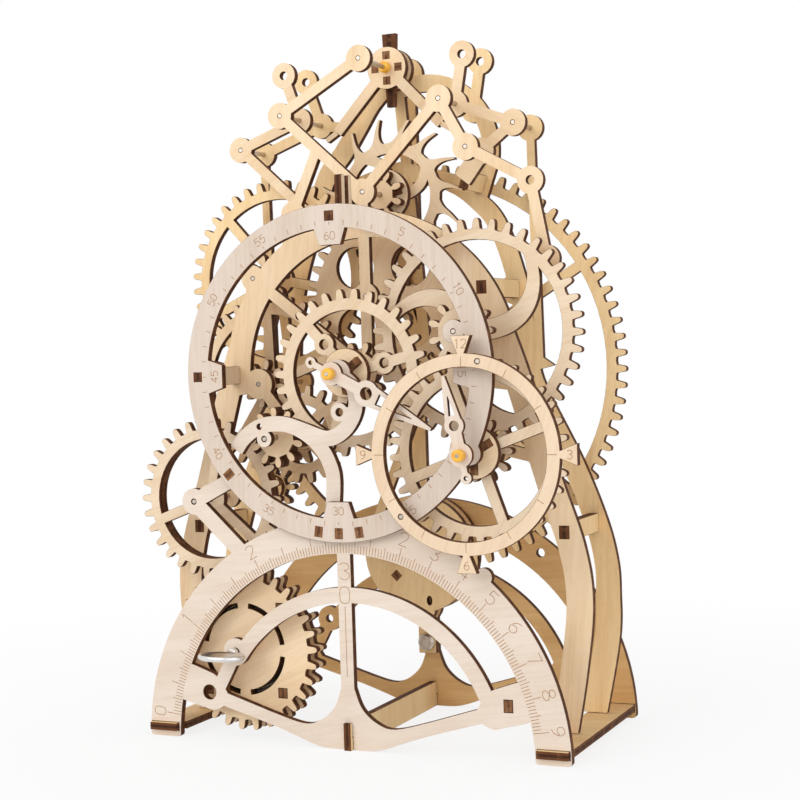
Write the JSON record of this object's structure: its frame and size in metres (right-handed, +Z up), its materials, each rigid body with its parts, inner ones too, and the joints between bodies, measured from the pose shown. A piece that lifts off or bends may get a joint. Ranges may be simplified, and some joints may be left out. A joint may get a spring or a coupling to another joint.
{
  "type": "pendulum clock",
  "caption": "Free-standing laser-cut plywood gear clock on two arched frames, with a minute dial, a small hour dial in front of it, an open wheel train and a short pendulum behind.",
  "frame": {"origin": "on the floor under the middle of the front arch, at its front face, on the underside of the centre spar", "axes": "+X to the right as the dials are read, +Y from the dials towards the pendulum, +Z up"},
  "size_m": [0.1988, 0.1054, 0.284],
  "materials": {
    "pale_plywood": "matte pale birch plywood with brown laser-cut edges",
    "plywood": "matte birch plywood with brown laser-cut edges",
    "rear_plywood": "matte warm birch plywood with brown laser-cut edges",
    "steel": "bright drawn steel",
    "silicone": "soft amber silicone"
  },
  "bodies": {
    "frame": {"front_arch_frame": "pale_plywood", "back_arch_frame": "rear_plywood", "base_bar_left": "plywood", "base_bar_right": "plywood", "centre_spar": "rear_plywood", "front_main_plate": "plywood", "rear_main_plate": "rear_plywood", "minute_dial": "pale_plywood", "hour_dial": "pale_plywood", "pillar_left": "rear_plywood", "pillar_right": "rear_plywood", "pillar_upper": "rear_plywood", "pillar_top": "rear_plywood", "dial_post_top": "plywood", "dial_post_left": "plywood", "hour_dial_pin_upper": "steel", "hour_dial_pin_lower": "steel", "lever_left": "plywood", "lever_right": "plywood", "link_pin_left": "steel", "link_pin_far_left": "steel", "link_pin_right": "steel", "link_pin_far_right": "steel"},
    "barrel": {"barrel_front_gear": "plywood", "barrel_rear_gear": "plywood", "mainspring": "steel"},
    "winder": {"winding_arbor": "steel", "winding_key": "steel"},
    "first": {"first_wheel": "plywood", "first_pinion_arbor": "rear_plywood"},
    "rear": {"rear_wheel": "rear_plywood", "rear_arbor": "steel"},
    "inter": {"inter_pinion_arbor": "plywood", "inter_wheel": "plywood"},
    "minute": {"minute_wheel": "plywood", "minute_pinion_arbor": "plywood", "minute_hand": "pale_plywood", "minute_bush": "silicone"},
    "motion": {"motion_wheel": "plywood", "motion_pinion_arbor": "plywood"},
    "hour": {"hour_wheel": "plywood", "hour_pinion_arbor": "plywood", "hour_hand": "pale_plywood", "hour_bush": "silicone"},
    "second": {"second_wheel": "plywood", "second_pinion_arbor": "plywood"},
    "third": {"third_wheel": "rear_plywood", "third_pinion_arbor": "plywood"},
    "fourth": {"fourth_wheel": "plywood", "fourth_pinion_arbor": "plywood"},
    "escape": {"escape_wheel": "rear_plywood", "escape_pinion_arbor": "plywood"},
    "pendulum": {"anchor_rotor": "plywood", "rotor_key": "rear_plywood", "anchor_arbor": "steel", "anchor_bush": "silicone", "pendulum_rod": "rear_plywood", "bob_front": "rear_plywood", "bob_rear": "rear_plywood", "bob_weight": "steel"}
  },
  "joints": [
    {"name": "third_turn", "type": "hinge", "parent": "frame", "child": "third", "pos_m": [-0.05088, 0, 0.18483], "axis": [0, 1, 0], "continuous": true},
    {"name": "second_turn", "type": "hinge", "parent": "frame", "child": "second", "pos_m": [-0.0499, 0, 0.14137], "axis": [0, 1, 0], "continuous": true},
    {"name": "inter_turn", "type": "hinge", "parent": "frame", "child": "inter", "pos_m": [-0.03306, 0, 0.12038], "axis": [0, 1, 0], "continuous": true},
    {"name": "minute_turn", "type": "hinge", "parent": "frame", "child": "minute", "pos_m": [0, 0, 0.1453], "axis": [0, 1, 0], "continuous": true},
    {"name": "first_turn", "type": "hinge", "parent": "frame", "child": "first", "pos_m": [-0.06613, 0, 0.09547], "axis": [0, 1, 0], "continuous": true},
    {"name": "barrel_turn", "type": "hinge", "parent": "frame", "child": "barrel", "pos_m": [-0.04922, 0, 0.03572], "axis": [0, 1, 0], "continuous": true},
    {"name": "motion_turn", "type": "hinge", "parent": "frame", "child": "motion", "pos_m": [0.04967, 0, 0.15982], "axis": [0, 1, 0], "continuous": true},
    {"name": "hour_turn", "type": "hinge", "parent": "frame", "child": "hour", "pos_m": [0.05483, 0, 0.11458], "axis": [0, 1, 0], "continuous": true},
    {"name": "rear_turn", "type": "hinge", "parent": "frame", "child": "rear", "pos_m": [0.00991, 0, 0.14561], "axis": [0, 1, 0], "continuous": true},
    {"name": "fourth_turn", "type": "hinge", "parent": "frame", "child": "fourth", "pos_m": [0, 0, 0.1754], "axis": [0, 1, 0], "continuous": true},
    {"name": "escape_turn", "type": "hinge", "parent": "frame", "child": "escape", "pos_m": [0, 0, 0.2168], "axis": [0, 1, 0], "continuous": true},
    {"name": "winder_turn", "type": "hinge", "parent": "frame", "child": "winder", "pos_m": [-0.04922, 0, 0.03572], "axis": [0, 1, 0], "continuous": true},
    {"name": "pendulum_swing", "type": "hinge", "parent": "frame", "child": "pendulum", "pos_m": [0, 0, 0.2696], "axis": [0, 1, 0], "range_deg": [-3, 3]}
  ],
  "couplings": [
    {"joint": "second_turn", "follows": "third_turn", "ratio": -0.23529},
    {"joint": "inter_turn", "follows": "third_turn", "ratio": 0.10458},
    {"joint": "minute_turn", "follows": "third_turn", "ratio": -0.034858},
    {"joint": "first_turn", "follows": "third_turn", "ratio": -0.034858},
    {"joint": "barrel_turn", "follows": "third_turn", "ratio": 0.034858},
    {"joint": "motion_turn", "follows": "third_turn", "ratio": 0.0087146},
    {"joint": "hour_turn", "follows": "third_turn", "ratio": -0.0029049},
    {"joint": "rear_turn", "follows": "third_turn", "ratio": 0.0034858},
    {"joint": "fourth_turn", "follows": "third_turn", "ratio": -3.5455},
    {"joint": "escape_turn", "follows": "third_turn", "ratio": 14.182}
  ]
}
